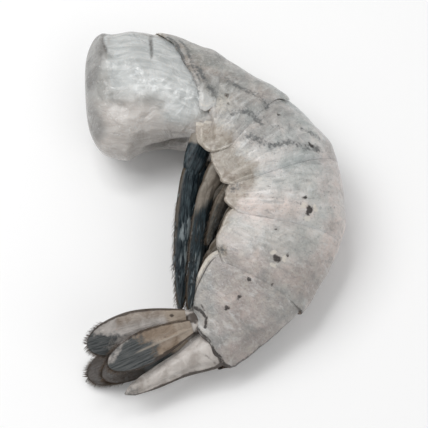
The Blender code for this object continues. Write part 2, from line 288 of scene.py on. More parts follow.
def tube(rings, start, end, paint, layout):
    """Closed skin through rings of points, with a fan of triangles to a point at either end."""
    rows, columns = rings.shape[:2]
    points = np.concatenate([rings.reshape(-1, 3), [start, end]])
    here = np.arange(columns)
    beside = (here + 1) % columns
    first, back = np.full(columns, rows * columns), (rows - 1) * columns
    fans = np.concatenate([stacked(first, beside, here), stacked(first + 1, back + here, back + beside)])
    quads, fans = outwards(points, grid_quads(rows, columns, True), fans)
    marks = [np.concatenate([held.reshape(-1, held.shape[-1]), [held[0].mean(0), held[-1].mean(0)]])
             for held in (paint, layout)]
    return points, quads, fans, *marks


def sheet_with_edge(outer, inner, paint, layout):
    """Closed wall between two grids of points, joined round their borders by a rounded edge.

    The edge's middle line lies halfway between the borders, pushed out by half the wall.
    """
    rows, columns = outer.shape[:2]
    numbers = np.arange(rows * columns).reshape(rows, columns)
    border = np.concatenate([numbers[0, :-1], numbers[:-1, -1], numbers[-1, :0:-1], numbers[:0:-1, 0]])
    inside = np.concatenate([numbers[1, :-1], numbers[:-1, -2], numbers[-2, :0:-1], numbers[:0:-1, 1]])
    flat_outer, flat_inner = outer.reshape(-1, 3), inner.reshape(-1, 3)
    away = unit(flat_outer[border] - flat_outer[inside])
    wall = np.linalg.norm(flat_outer[border] - flat_inner[border], axis=1, keepdims=True)
    middle = (flat_outer[border] + flat_inner[border]) / 2 + away * wall * 0.5
    points = np.concatenate([flat_outer, flat_inner, middle])
    count = rows * columns
    edge = 2 * count + np.arange(len(border))
    after, edge_after = np.roll(border, -1), np.roll(edge, -1)
    quads = grid_quads(rows, columns, False)
    quads = np.concatenate([
        quads, quads[:, ::-1] + count, stacked(border, edge, edge_after, after),
        stacked(edge, border + count, after + count, edge_after)])
    quads, _ = outwards(points, quads, np.zeros((0, 3), int))
    marks = [np.concatenate([held, held, held[border]])
             for held in (paint.reshape(count, -1), layout.reshape(count, -1))]
    return points, quads, np.zeros((0, 3), int), *marks


def hairs(roots, ways, lengths, thick):
    """Fine hairs: three-sided spikes, 0.6 as thick at 0.55 of their length, pointed, closed at the root."""
    side = unit(np.cross(ways, (0.31, 0.27, 0.91)))
    other = np.cross(ways, side)
    turns = np.arange(3) * 2 * np.pi / 3
    round_it = np.cos(turns)[None, :, None] * side[:, None] + np.sin(turns)[None, :, None] * other[:, None]
    foot = roots[:, None] + round_it * thick
    waist = (roots + ways * lengths[:, None] * 0.55)[:, None] + round_it * thick * 0.6
    tip = (roots + ways * lengths[:, None])[:, None]
    points = np.concatenate([foot, waist, tip], 1).reshape(-1, 3)
    base = np.arange(len(roots))[:, None, None] * 7
    quads = (base + np.array([[0, 1, 4, 3], [1, 2, 5, 4], [2, 0, 3, 5]])).reshape(-1, 4)
    fans = (base + np.array([[3, 4, 6], [4, 5, 6], [5, 3, 6], [0, 2, 1]])).reshape(-1, 3)
    quads, fans = outwards(points, quads, fans)
    return points, quads, fans, np.zeros((len(points), 4)), points.copy()


def make_piece(name, dressed, node):
    """One mesh object from pairs of a closed skin and its finish, which stands for the named solid."""
    skins = [skin for skin, _ in dressed]
    finishes = list(dict.fromkeys(finish for _, finish in dressed))
    starts = np.cumsum([0] + [len(skin[0]) for skin in skins])
    points, paint, layout = (np.concatenate([skin[k] for skin in skins]) for k in (0, 3, 4))
    quads, fans = (np.concatenate([skin[k] + start for skin, start in zip(skins, starts)]) for k in (1, 2))
    wears = np.concatenate([np.full(len(skin[k]), finishes.index(finish))
                            for k in (1, 2) for skin, finish in dressed])
    sizes = np.concatenate([np.full(len(quads), 4), np.full(len(fans), 3)])
    mesh = bpy.data.meshes.new(name)
    mesh.vertices.add(len(points))
    mesh.vertices.foreach_set("co", points.ravel())
    mesh.loops.add(int(sizes.sum()))
    mesh.loops.foreach_set("vertex_index", np.concatenate([quads.ravel(), fans.ravel()]).astype(np.int32))
    mesh.polygons.add(len(sizes))
    mesh.polygons.foreach_set("loop_start", np.concatenate([[0], np.cumsum(sizes)[:-1]]).astype(np.int32))
    mesh.polygons.foreach_set("material_index", wears.astype(np.int32))
    for finish in finishes:
        mesh.materials.append(finish)
    mesh.update(calc_edges=True)
    mesh.shade_smooth()
    held = mesh.attributes.new("paint", "FLOAT_COLOR", "POINT")
    held.data.foreach_set("color", np.clip(paint, 0, 1).astype(np.float32).ravel())
    held = mesh.attributes.new("layout", "FLOAT_VECTOR", "POINT")
    held.data.foreach_set("vector", layout.astype(np.float32).ravel())
    piece = bpy.data.objects.new(name, mesh)
    bpy.context.scene.collection.objects.link(piece)
    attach(piece, "root")
    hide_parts(node)


# Finishes

class Finish:
    """A finish laid out as shader nodes: a call adds one or a few nodes and gives back what they put out."""

    def __init__(self, name):
        self.made = bpy.data.materials.new(name)
        self.made.use_nodes = True
        self.tree = self.made.node_tree
        self.skin = self.tree.nodes["Principled BSDF"]
        paint = self.attribute("paint")
        self.masks = self.node("ShaderNodeSeparateColor", {0: paint["Color"]}, (0, 1, 2)) + (paint["Alpha"],)
        self.layout = self.attribute("layout")["Vector"]
        self.place = self.tree.nodes.new("ShaderNodeTexCoord").outputs["Object"]

    def attribute(self, name):
        held = self.tree.nodes.new("ShaderNodeAttribute")
        held.attribute_name = name
        return held.outputs

    def node(self, kind, sockets, out=0, **settings):
        node = self.tree.nodes.new(kind)
        for key, value in settings.items():
            setattr(node, key, value)
        for key, value in sockets.items():
            if isinstance(value, bpy.types.NodeSocket):
                self.tree.links.new(value, node.inputs[key])
            else:
                node.inputs[key].default_value = value
        if isinstance(out, tuple):
            return tuple(node.outputs[k] for k in out)
        return node.outputs[out]

    def noise(self, scale, detail=3.0, rough=0.55, swirl=0.0, place=None):
        return self.node("ShaderNodeTexNoise", {"Vector": place or self.place, "Scale": scale,
                                                "Detail": detail, "Roughness": rough, "Distortion": swirl})

    def grain(self, scales, detail, rough=0.55, swirl=0.0):
        """Noise that is stretched along the piece's own layout."""
        place = self.node("ShaderNodeMapping", {"Vector": self.layout, "Scale": scales})
        return self.noise(1.0, detail, rough, swirl, place)

    def ease(self, value, low, high, to_low=0.0, to_high=1.0):
        return self.node("ShaderNodeMapRange", {0: value, 1: low, 2: high, 3: to_low, 4: to_high},
                         interpolation_type="SMOOTHSTEP")

    def sum(self, a, b, how="ADD"):
        return self.node("ShaderNodeMath", {0: a, 1: b}, operation=how)

    def times(self, a, b):
        return self.sum(a, b, "MULTIPLY")

    def blend(self, share, a, b, how="MIX"):
        a, b = ((*c, 1.0) if isinstance(c, tuple) else c for c in (a, b))
        return self.node("ShaderNodeMix", {0: share, 6: a, 7: b}, 2, data_type="RGBA", blend_type=how)

    def between(self, value, low, high, a, b):
        """Colour a where the value is below low, and b where it is above high."""
        return self.blend(self.ease(value, low, high), a, b)

    def mottled(self, colour, *rows, how="MIX"):
        """A colour under one tint after the other: value, where it starts and is full, share, tint."""
        for value, low, high, share, tint in rows:
            colour = self.blend(self.times(self.ease(value, low, high), share), colour, tint, how)
        return colour

    def marked(self, colour, *rows):
        """A colour under tints by mask: mask, noise that breaks it up, how much, then as in mottled."""
        for mask, noise, amount, *rest in rows:
            broken = self.sum(mask, self.times(self.sum(noise, -0.5), amount))
            colour = self.mottled(colour, (broken, *rest))
        return colour

    def tones(self, value, *stops):
        """A run of colours over a value: (place, colour) for each stop."""
        made = self.tree.nodes.new("ShaderNodeValToRGB")
        ramp = made.color_ramp
        while len(ramp.elements) < len(stops):
            ramp.elements.new(1.0)
        for element, (place, colour) in zip(ramp.elements, stops):
            element.position, element.color = place, (*colour, 1.0)
        self.tree.links.new(value, made.inputs[0])
        return made.outputs[0]

    def wet(self, colour, roughness, heights, softness, spread, coat, shine=0.5):
        """Joins colour and gloss to the skin: heights are (value, distance) pairs for fine relief."""
        sockets = self.skin.inputs
        self.tree.links.new(colour, sockets["Base Color"])
        self.tree.links.new(roughness, sockets["Roughness"])
        for name, value in {"Subsurface Weight": softness, "Subsurface Radius": (1.0, 0.85, 0.75),
                            "Subsurface Scale": spread, "Coat Weight": coat, "Coat Roughness": 0.14,
                            "IOR": 1.42, "Specular IOR Level": shine}.items():
            sockets[name].default_value = value
        under = {}
        for value, distance in heights:
            under = {"Normal": self.node("ShaderNodeBump", {"Height": value, "Distance": distance, **under})}
        self.tree.links.new(under["Normal"], sockets["Normal"])
        return self.made


def wet_flesh():
    """Raw flesh: white muscle, greyer and pinker below and at the cut. Masks: white with painted light and
    painted highlights, pink, dark lines with painted shade, cut.
    """
    f = Finish("wet_flesh")
    white, pink, line, cut = f.masks
    patches = f.noise(260, 4, 0.6, 0.6)
    grain = f.grain((260, 950, 600), 3, 0.5, 0.6)
    body = f.between(patches, 0.3, 0.7, (0.29, 0.286, 0.272), (0.41, 0.41, 0.395))
    pale = f.between(grain, 0.35, 0.7, (0.41, 0.425, 0.42), (0.56, 0.57, 0.562))
    blush = f.between(grain, 0.3, 0.7, (0.415, 0.385, 0.36), (0.53, 0.505, 0.48))
    clear = f.between(patches, 0.35, 0.65, (0.155, 0.151, 0.145), (0.28, 0.275, 0.264))
    colour = f.marked(
        body,
        # pale: white flesh, also used for the painted light and painted highlights in the white mask
        (white, patches, 0.5, 0.1, 0.85, 1.0, pale),
        (pink, patches, 0.6, 0.15, 0.9, 1.0, blush),
        (cut, patches, 0.5, 0.2, 0.8, 0.85, clear),
        # dark brown: the vein and the other dark lines, and the painted shade below the belly seam
        (line, grain, 0.6, 0.25, 0.8, 0.75, (0.06, 0.052, 0.042)))
    colour = f.mottled(colour, (f.noise(1900, 2), 0.64, 0.7, 0.3, (0.72, 0.73, 0.72)))
    fibres = f.grain((350, 2600, 900), 4, 0.6)
    return f.wet(colour, f.ease(patches, 0.3, 0.7, 0.26, 0.44), ((patches, 0.0008), (fibres, 0.00006)),
                 0.45, 0.0022, 0.45)


def wet_shell():
    """Shell over grey flesh. Masks: dark pigment, edge, warm blush, pale ridge and painted highlight flecks.
    Layout's third: sheer.
    """
    f = Finish("wet_shell")
    dark, edge, blush, pale = f.masks
    s, sheer = f.node("ShaderNodeSeparateXYZ", {0: f.layout}, (0, 2))
    tone = f.tones(f.ease(s, 0.012, 0.086),
                   (0.0, (0.3, 0.283, 0.256)), (0.17, (0.362, 0.358, 0.34)),
                   (0.34, (0.44, 0.442, 0.43)), (0.5, (0.605, 0.574, 0.556)),
                   (0.67, (0.632, 0.578, 0.546)), (0.81, (0.425, 0.396, 0.376)),
                   (1.0, (0.37, 0.345, 0.332)))
    areas = f.noise(75, 3, 0.55, 0.8)
    patches = f.noise(210, 4, 0.6, 0.5)
    clouds = f.noise(520, 5, 0.7, 0.2)
    speckle = f.noise(1700, 3, 0.7)
    broken = f.noise(1700, 4, 0.72, 0.5)
    bands = f.grain((900, 260, 0), 4, 0.6, 0.5)
    dashes = f.grain((420, 900, 0), 5, 0.72, 0.2)
    colour = f.mottled(
        tone,
        (areas, 0.42, 0.62, 1.0, (1.0, 0.925, 0.9)),
        (areas, 0.52, 0.36, 1.0, (0.86, 0.905, 0.9)),
        (patches, 0.34, 0.66, 1.0, (0.74, 0.775, 0.78)),
        (patches, 0.5, 0.34, 1.0, (1.09, 1.07, 1.06)), how="MULTIPLY")
    rearward = f.ease(s, 0.018, 0.034, 0.12, 0.45)
    colour = f.mottled(
        colour,
        (clouds, 0.46, 0.72, 0.5, (0.62, 0.61, 0.595)),
        (speckle, 0.54, 0.7, 0.32, (0.68, 0.68, 0.67)),
        (speckle, 0.46, 0.3, 0.36, (0.18, 0.18, 0.178)),
        (bands, 0.52, 0.72, rearward, (0.66, 0.66, 0.65)),
        (bands, 0.48, 0.32, rearward, (0.22, 0.224, 0.222)))
    tan = f.between(f.noise(760, 4, 0.65, 0.6), 0.36, 0.64, (0.215, 0.172, 0.128), (0.375, 0.33, 0.275))
    colour = f.marked(
        colour,
        (blush, clouds, 1.4, 0.2, 0.9, 0.8, tan),
        (sheer, clouds, 1.2, 0.2, 0.9, 0.85, (0.52, 0.52, 0.505)))
    grit = f.node("ShaderNodeTexVoronoi", {"Vector": f.place, "Scale": 2100}, "Distance")
    gritty = f.times(f.ease(grit, 0.26, 0.12), f.ease(f.noise(900, 2), 0.5, 0.64))
    colour = f.blend(f.times(gritty, 0.55), colour, (0.065, 0.066, 0.068))
    smudged = f.sum(dark, f.times(f.sum(dashes, -0.5), 1.5))
    colour = f.marked(
        colour,
        (smudged, speckle, 1.8, 0.34, 1.0, 0.86, (0.082, 0.088, 0.089)),
        (edge, broken, 1.5, 0.38, 0.86, 0.96, (0.028, 0.022, 0.019)),
        # pale cream for the ridges and flecks, and for the painted highlight flecks where the neck meets the
        # plates
        (pale, broken, 1.5, 0.3, 0.9, 0.7, (0.62, 0.575, 0.505)))
    pits = f.noise(2600, 3, 0.6)
    return f.wet(colour, f.ease(clouds, 0.3, 0.7, 0.24, 0.46),
                 ((patches, 0.0005), (speckle, 0.00012), (bands, 0.0001), (pits, 0.00006)), 0.3, 0.0012, 0.35)


def leg_skin():
    """Swimming leg: tan stem, blue-black blade. Masks: dark blue, brown edge, painted glint highlights, warm.
    """
    f = Finish("leg_skin")
    dark, edge, painted_glint, warm = f.masks
    patches = f.noise(420, 4, 0.6, 0.6)
    streaks = f.grain((420, 2600, 1), 4, 0.6, 0.3)
    colour = f.between(patches, 0.3, 0.7, (0.15, 0.134, 0.112), (0.27, 0.246, 0.212))
    colour = f.blend(f.times(warm, 0.5), colour, (0.25, 0.198, 0.155))
    blue = f.between(streaks, 0.38, 0.68, (0.005, 0.01, 0.014), (0.04, 0.058, 0.066))
    colour = f.marked(
        colour,
        (dark, streaks, 0.7, 0.25, 0.75, 1.0, blue),
        # painted highlight: light blue-grey glints on the wet blades
        (painted_glint, streaks, 1.6, 0.45, 0.9, 0.8, (0.25, 0.285, 0.295)),
        (edge, patches, 0.6, 0.3, 0.9, 0.88, (0.058, 0.041, 0.025)))
    return f.wet(colour, f.ease(streaks, 0.3, 0.7, 0.22, 0.45), ((patches, 0.0003), (streaks, 0.00012)),
                 0.06, 0.0005, 0.06, 0.28)


def tail_skin():
    """Tail fan: tan base, pink-brown blade, blue-black end. Masks: blue-black, edge, ridge, grey."""
    f = Finish("tail_skin")
    dark, edge, ridge, grey = f.masks
    patches = f.noise(380, 4, 0.6, 0.6)
    broken = f.noise(900, 4, 0.65)
    ribs = f.grain((240, 3000, 1), 4, 0.62, 0.3)
    colour = f.between(patches, 0.3, 0.7, (0.185, 0.132, 0.09), (0.34, 0.268, 0.205))
    colour = f.mottled(colour, (ribs, 0.5, 0.7, 0.4, (0.36, 0.31, 0.26)))
    silver = f.between(patches, 0.3, 0.7, (0.37, 0.34, 0.316), (0.54, 0.505, 0.475))
    blue = f.between(ribs, 0.28, 0.74, (0.026, 0.031, 0.034), (0.128, 0.135, 0.133))
    ribbed = f.sum(dark, f.times(f.sum(ribs, -0.5), 0.6))
    colour = f.marked(
        colour,
        (grey, patches, 0.5, 0.2, 0.85, 1.0, silver),
        (ribbed, broken, 1.4, 0.2, 0.85, 1.0, blue),
        (ridge, patches, 0.5, 0.3, 0.9, 0.55, (0.46, 0.4, 0.335)),
        (edge, broken, 1.3, 0.32, 0.85, 0.85, (0.036, 0.024, 0.017)))
    return f.wet(colour, f.ease(ribs, 0.3, 0.7, 0.24, 0.46), ((patches, 0.0003), (ribs, 0.00014)),
                 0.12, 0.0006, 0.12, 0.35)


def hair_finish(name, scale, low, high, tints, gloss, coat):
    """Fine hair that passes from one tint to the other in places."""
    f = Finish(name)
    tone = f.noise(scale, 2)
    return f.wet(f.between(tone, low, high, *tints), f.ease(tone, 0.3, 0.7, *gloss), ((tone, 0.00002),),
                 0.0, 0.0005, coat)


FLESH, SHELL_SKIN, LEG_SKIN, TAIL_SKIN = wet_flesh(), wet_shell(), leg_skin(), tail_skin()
FRINGE = hair_finish(
    "fringe_hair", 700, 0.35, 0.65, ((0.045, 0.03, 0.019), (0.12, 0.085, 0.058)), (0.4, 0.6), 0.2)
# the bristles' lighter tint is a painted glint along them
BRISTLE = hair_finish(
    "leg_bristle", 950, 0.4, 0.66, ((0.01, 0.015, 0.02), (0.22, 0.262, 0.28)), (0.3, 0.5), 0.3)


# Flesh

def muscle():
    """The muscle: rings of the body's skin from a domed cut to the root of the tail.

    Over the dome a ring's size goes as sin(t), less a dent, and its place from the cut's tip as 1 minus the
    2.8th root of 1 - sin(t)^2.8. Relief is soft lumps, oblique furrows between bundles at the cut, a rim and
    a fold behind it, a furrow where the first plate was joined, a belly drawn in behind the cut, and a rib
    across the belly at each pair of legs.
    """
    dome, rest, columns = 40, 189, 168
    angle = np.linspace(-np.pi, np.pi, columns, endpoint=False)[None, :]
    end = JOINTS[-1] - 0.004
    reach = np.sin(np.pi / 2 * np.linspace(0.03, 1.0, dome)[:, None])
    s = np.concatenate([CUT_DOME * (1 - (1 - reach**2.8) ** (1 / 2.8)),
                        np.linspace(CUT_DOME, end, rest + 1)[1:, None]])
    dent = 0.06 * span(angle, 0.2, 0.7, 2.5, 0.6) + 0.03
    scale = np.concatenate([reach - dent * np.sin(np.pi * reach**3.2) ** 1.5, np.ones((rest, columns))])
    base = body_skin(s, angle, 0.0)
    bundles = sum(hump(angle, turn, 0.1) * depth for turn, depth in
                  ((-2.5, 0.9), (-1.4, 0.6), (-0.35, 0.7), (0.62, 1.0), (1.75, 0.8), (2.6, 0.9)))
    swirl = hump(s - 0.0035 * np.sin(angle + 0.4), 0.0032, 0.0011) * hump(angle, 1.2, 1.1)
    uneven = 0.00022 + 0.00022 * fall(s, 0.012, 0.006)
    joined = hump(s, 0.0121 + 0.0012 * rise(angle, 0.6, 0.8), 0.00045) * span(angle, 0.15, 0.25, 1.45, 0.35)
    ventral = rise(np.abs(angle), 2.2, 0.6)
    ribs = sum(hump(s, root[0] - 0.001, 0.0016) for root in LEG_ROOTS)
    drawn_in = span(s, 0.009, 0.015, 0.031, 0.005) * rise(np.abs(angle), 1.9, 0.9)
    rim_at = 0.004 + 0.0005 * np.sin(angle * 6)
    rim = hump(s, rim_at, 0.0005) - 0.8 * hump(s, rim_at + 0.0013, 0.0006)
    crisp = span(angle, 0.35, 0.2, 1.35, 0.3)
    fold = hump(angle, 0.5 + 0.22 * np.sin((s - 0.003) * 380), 0.045) * hump(s, 0.0078, 0.003)
    relief = (-0.00042 * bundles * hump(s, 0.0008, 0.0042) - 0.00022 * swirl
              + uneven * (lumps(base, 0.008, 3) - 0.7) + 0.00008 * lumps(base, 0.003, 4)
              + ventral * (0.0007 * ribs - 0.0006) - 0.003 * drawn_in
              - 0.0003 * joined + 0.0002 * rim * crisp + 0.00026 * fold)
    middle = curl(s, 0.0, 0.0)
    shown = middle + (body_skin(s, angle, 0.0, relief) - middle) * scale[..., None]

    neck = fall(s, 0.03, 0.006)
    # beside: painted light, a brighter patch on the neck's lower flank near the plates, where the lamps fall
    # off; it also holds back the pink there
    beside = neck * rise(s, 0.0165, 0.005) * span(angle, 1.15, 0.3, 2.45, 0.35)
    seam = np.radians(np.interp(s, *BELLY_SEAM))
    near = span(s, 0.013, 0.004, 0.034, 0.003)
    under = np.mod(angle, 2 * np.pi)
    # shade: painted shade, the belly below the seam darkened, most just under the seam
    shade = span(under, seam + 0.03, 0.09, 4.3, 0.6) * (0.4 + 0.45 * hump(under, seam, 0.5))
    # white: the neck's pale zone, plus the painted light beside it, a painted highlight line along the belly
    # seam, a pale line behind the rim, and a painted highlight along the fold
    white = most(neck * rise(s, 0.0035, 0.004) * span(angle, 0.35, 0.5, 2.05, 0.45), 0.75 * beside,
                 near * hump(angle, seam, 0.05), hump(s, rim_at + 0.0012, 0.0004) * crisp, 0.9 * fold)
    pink = most(rise(angle, 1.75, 0.45), rise(s, 0.026, 0.006)) * (1 - 0.75 * beside)
    pink = most(pink, rise(-angle, 1.9, 0.4), 0.55 * hump(angle, 0.34, 0.2) * rise(s, 0.006, 0.004))
    # vein_and_painted_shade: dark lines (the vein at the cut, the furrow where the first plate was joined, a
    # line behind the rim), a darker belly between the leg ribs, and painted shade below the belly seam
    vein_and_painted_shade = (0.35 * hump(angle, 0.3, 0.1) * hump(s, 0.0006, 0.0007) + 0.8 * joined
            + 0.25 * ventral * (1 - ribs))
    vein_and_painted_shade = most(vein_and_painted_shade, rise(s, 0.011, 0.01) * near * shade, 0.55 * hump(s, rim_at + 0.0006, 0.0003) * crisp)
    cut = smooth((rim_at + 0.0022 - s) / (0.0052 - 0.0034 * crisp)) * (0.8 + 0.2 * np.cos(angle * 5))
    layout = stacked(s, angle * 0.011, scale * 0.011)
    ends = [curl(np.array(place), 0.0, 0.0) for place in (0.0, end + 0.0008)]
    skin = tube(shown, *ends, stacked(white, pink, vein_and_painted_shade, cut), layout)
    make_piece("flesh_muscle", [(skin, FLESH)], "flesh")


# Shell

def away_from(s, angle, at, turn):
    """How far points of the layout lie from a place in mm and degrees: along and round the body, in mm."""
    return s * 1000 - at, (np.degrees(angle) - turn) * MM_PER_DEGREE


def line_distance(s, angle, line):
    """Distance in mm from points of the layout to a line through (along in mm, angle in degrees) points."""
    nearest = np.inf
    for (x0, turn0), (x1, turn1) in zip(line, line[1:]):
        x, y = away_from(s, angle, x0, turn0)
        dx, dy = x1 - x0, (turn1 - turn0) * MM_PER_DEGREE
        t = np.clip((x * dx + y * dy) / (dx**2 + dy**2), 0, 1)
        nearest = np.minimum(nearest, np.hypot(x - t * dx, y - t * dy))
    return nearest


def shell_marks(s, angle):
    """Three masks: smudges along the streaks, spots and crusts, and pale flecks round the largest spots.

    A streak is a wide hump and a narrow one, over a faint smudged field. A spot is a disc whose border
    waves two and three times round, and the flecks lie in threes round it.
    """
    dark = 0.32 * span(s, 0.024, 0.006, 0.05, 0.008) * span(angle, 0.55, 0.3, 1.8, 0.3)
    spots = flecks = 0.0
    for line, width, strength in STREAKS:
        far = line_distance(s, angle, line) / width
        dark = most(dark, strength * (0.46 * hump(far, 0.0, 4.2) + 0.34 * hump(far, 0.0, 1.7)))
    for line, width, strength in CRUSTS:
        spots = most(spots, strength * hump(line_distance(s, angle, line) / width, 0.0, 1.4))
    for at, turn, radius, strength in SPOTS:
        x, y = away_from(s, angle, at, turn)
        way, far = np.arctan2(y, x), np.hypot(x, y)
        border = 1.3 * radius * (0.95 + 0.16 * np.cos(2 * way + at) + 0.14 * np.cos(3 * way + 2 * at))
        spots = most(spots, 1.1 * strength * smooth((1.75 - far / border) / 1.6))
        if radius > FLECKED_FROM:
            flecks = most(flecks, 1.5 * hump(far, 2.0 * radius, 0.4) * smooth(np.cos(3 * way) * 2))
    return dark, spots, flecks


def front_edge(number, angle):
    """Where a plate starts: straight, but the first two are cut back down their sides as the angle^1.9.

    The second one's flap comes forward again under the belly, along FLAP_FRONT.
    """
    turn = np.abs(angle)
    straight = JOINTS[number - 1] + 0.0002
    wavy = 0.00022 * np.sin(turn * 9.0) + 0.00014 * np.sin(turn * 23.0 + 1.0)
    slanted = JOINTS[0] + 0.0002 + 0.0045 * turn**1.9 + wavy * smooth(turn / 0.4)
    if number == 1:
        return slanted
    if number == 2:
        ragged = 0.0003 * np.sin(turn * 31) + 0.00016 * np.sin(turn * 67)
        flap = np.interp(np.degrees(turn), *FLAP_FRONT) + ragged
        return np.minimum(np.maximum(straight, slanted + 0.0008), flap)
    return straight


def plate_relief(number, angle, base, edges, free_side):
    """Two heights: soft lumps, bulges and hollows of the whole wall, and fine ridges along its edges.

    The second and the fifth plate bulge at the rear, and the first two sink in at the front.
    """
    to_rear, to_front, to_side = edges
    low = (0.00015 * lumps(base, 0.0072, 11) + 0.00004 * lumps(base, 0.0023, 12)) * (
        1 - 0.6 * rise(np.abs(angle), 1.5, 0.4))
    ridge = 0.00005 * hump(to_side, 0.0006, 0.0003) - 0.00004 * hump(to_side, 0.0015, 0.0005)
    at_rear = 0.0006 * smooth(1 - to_rear / 0.0026)
    if number == 1:
        low = low - 0.00022 * smooth(1 - to_front / 0.003) * free_side
    elif number == 2:
        low = low + hump(angle, 0.45, 0.3) * at_rear
        low = low - 0.0011 * smooth(1 - to_front / 0.004) * rise(angle, 1.5, 0.4)
    elif number == 5:
        low = low + hump(angle, 0.05, 0.32) * at_rear
    elif number == len(PLATES):
        ridge = ridge + 0.00012 * hump(to_rear, 0.0008, 0.0003) - 0.0001 * hump(to_rear, 0.0018, 0.0005)
        ridge = ridge + 0.00014 * hump(to_front, 0.0009, 0.0004) * rise(np.abs(angle), 1.3, 0.4)
    return low, ridge


def plate_paint(number, s, angle, edges):
    """A plate's four masks and its sheer part: marks, dark rims, a tan flap beyond the flesh, pale ridges,
    painted highlight flecks.
    """
    to_rear, to_front, to_side = edges
    turn = np.abs(angle)
    dark, spots, flecks = shell_marks(s, angle)
    beyond = turn - np.radians(np.interp(s, *FLESH_LINE))
    flap = smooth(beyond / 0.34 + 0.5)
    rear_rim = (0.06, 0.1, 0.12, 0.16, 0.95 * hump(angle, 0.0, 0.34), 0.95)[number - 1]
    side_rim = (0.1, 0.15, 0.25, 0.4, 0.5, 0.6)[number - 1]
    edge = most(spots, smooth(1 - to_rear / 0.0005) * (rear_rim + 0.25 * flap),
                smooth(1 - to_side / 0.0005) * side_rim)
    blush = most(rise(s, 0.05, 0.02) * 0.35, 0.95 * flap)
    for at, place, radius in BROWNED:
        near = hump(np.hypot(*away_from(s, angle, at, place)), 0.0, radius)
        blush, dark = most(blush, 1.2 * near), most(dark, 0.9 * near)
    pale = most(flecks, 0.6 * hump(to_side, 0.0007, 0.0003), 0.45 * hump(beyond, -0.05, 0.1) * (s > 0.03),
                0.6 * flap * hump(to_rear, 0.0008, 0.0003),
                # painted highlight: wet flecks of light where the neck meets the plates, broken up by noise
                # in the finish
                0.62 * hump(s, 0.03, 0.0035) * hump(angle, 1.55, 0.3))
    sheer = 0.0
    if number == 1:
        sides = span(turn, 0.45, 0.25, 1.62, 0.25)
        tip = span(s, 0.0215, 0.003, 0.0315, 0.003) * rise(angle, 1.4, 0.25)
        lines = most(1.1 * hump(to_front, 0.0005, 0.0008), 0.8 * hump(to_front, 0.0026, 0.0007))
        dark = most(dark, lines * sides)
        sheer, blush = 0.95 * tip, 0.55 * fall(turn, 0.55, 0.35) * (1 - tip)
        pale = most(pale, 0.85 * hump(to_front, 0.0004, 0.0009) * fall(turn, 0.55, 0.2))
    elif number == 2:
        pale = most(pale, 0.6 * hump(angle, 0.45, 0.34) * smooth(1 - to_rear / 0.002),
                    0.95 * smooth(1 - to_front / 0.0007) * rise(turn, 1.75, 0.15))
    elif number == len(PLATES):
        keel = 0.03 + 0.11 * rise(s, 0.069, 0.012) + 0.015 * np.sin(s * 2400)
        edge = most(edge, hump(angle, -0.03, keel) * rise(s, 0.0685, 0.004),
                    1.1 * smooth(1.7 - to_rear / 0.0005) * (0.75 + 0.25 * np.sin(angle * 9)),
                    1.1 * smooth(1.2 - to_side / 0.0004),
                    0.95 * hump(to_side, 0.002, 0.00026) * rise(s, 0.07, 0.003) * (angle > 0))
        pale = most(pale, 1.3 * hump(to_side, 0.001, 0.0005))
    return stacked(dark, edge, blush, pale), sheer


def shell_plate(number):
    """One plate: the body's skin between its front edge and its lapping rear edge, as a wall with a thin rim.

    The angle shrinks towards the front and the rear, with the place from the middle to the power of 3.2,
    which rounds the flap. The rear lifts over the next plate, and the wall thins towards every edge as a
    square root.
    """
    last = number == len(PLATES)
    reach = math.radians(FLAP_ANGLES[number - 1])
    u = (0.5 - 0.5 * np.cos(np.pi * np.linspace(0, 1, PLATE_ROWS)))[:, None]
    v = np.sin(np.pi / 2 * np.linspace(-1, 1, PLATE_COLUMNS))[None, :]
    lap = LAP_BACK + ((FIRST_LAP_FLAP if number == 1 else LAP_FLAP) - LAP_BACK) * v * v
    if last:
        lap = 0.0004 - 0.0009 * hump(v * reach, 0.0, 0.3) + 0.00022 * np.sin(v * 19.0)
    if number == 2:
        lap = lap + 0.0013 * hump(v * reach, 0.62, 0.16)
    end = JOINTS[number] + lap
    begin = np.minimum(front_edge(number, v * reach), end - 0.0012)
    s = begin + (end - begin) * u
    rounding = 1 - FLAP_ROUNDING[number - 1] * np.abs(2 * u - 1) ** 3.2
    angle = v * reach * rounding
    lifted = 0.0 if last else smooth((s - (JOINTS[number] - RISE)) / (RISE - 0.0006))
    free_side = smooth((angle + 1.2) / 0.5)
    seat = TUCKED + (LAPPED - TUCKED) * lifted - SEAT * lifted * free_side
    # How far each point lies from the rear, the front and the side edge
    edges = (1 - u) * (end - begin), u * (end - begin), (reach * rounding - np.abs(angle)) * METRES_PER_RADIAN
    rim = np.minimum(np.minimum(edges[0], edges[1]), edges[2])
    wall = SHELL * (0.3 + 0.7 * np.sqrt(np.clip(rim / 0.0007, 0, 1)))
    wall = wall * (1 - (0.5 if last else 0.72) * free_side * (1 - smooth(edges[0] / 0.0026)))
    low, ridge = plate_relief(number, angle, body_skin(s, angle, TUCKED, 0.0, True), edges, free_side)
    outer = body_skin(s, angle, seat + wall, low + ridge, True)
    inner = body_skin(s, angle, seat, low, True)
    outer[..., 2] = np.maximum(outer[..., 2], 0.0)
    inner[..., 2] = np.maximum(inner[..., 2], 0.00012 * smooth(rim / 0.0004))
    paint, sheer = plate_paint(number, s, angle, edges)
    skin = sheet_with_edge(outer, inner, paint, stacked(s, angle * METRES_PER_RADIAN, sheer))
    make_piece(f"shell_plate_{number}", [(skin, SHELL_SKIN)], f"shell_{number}")


# Legs and tail blades

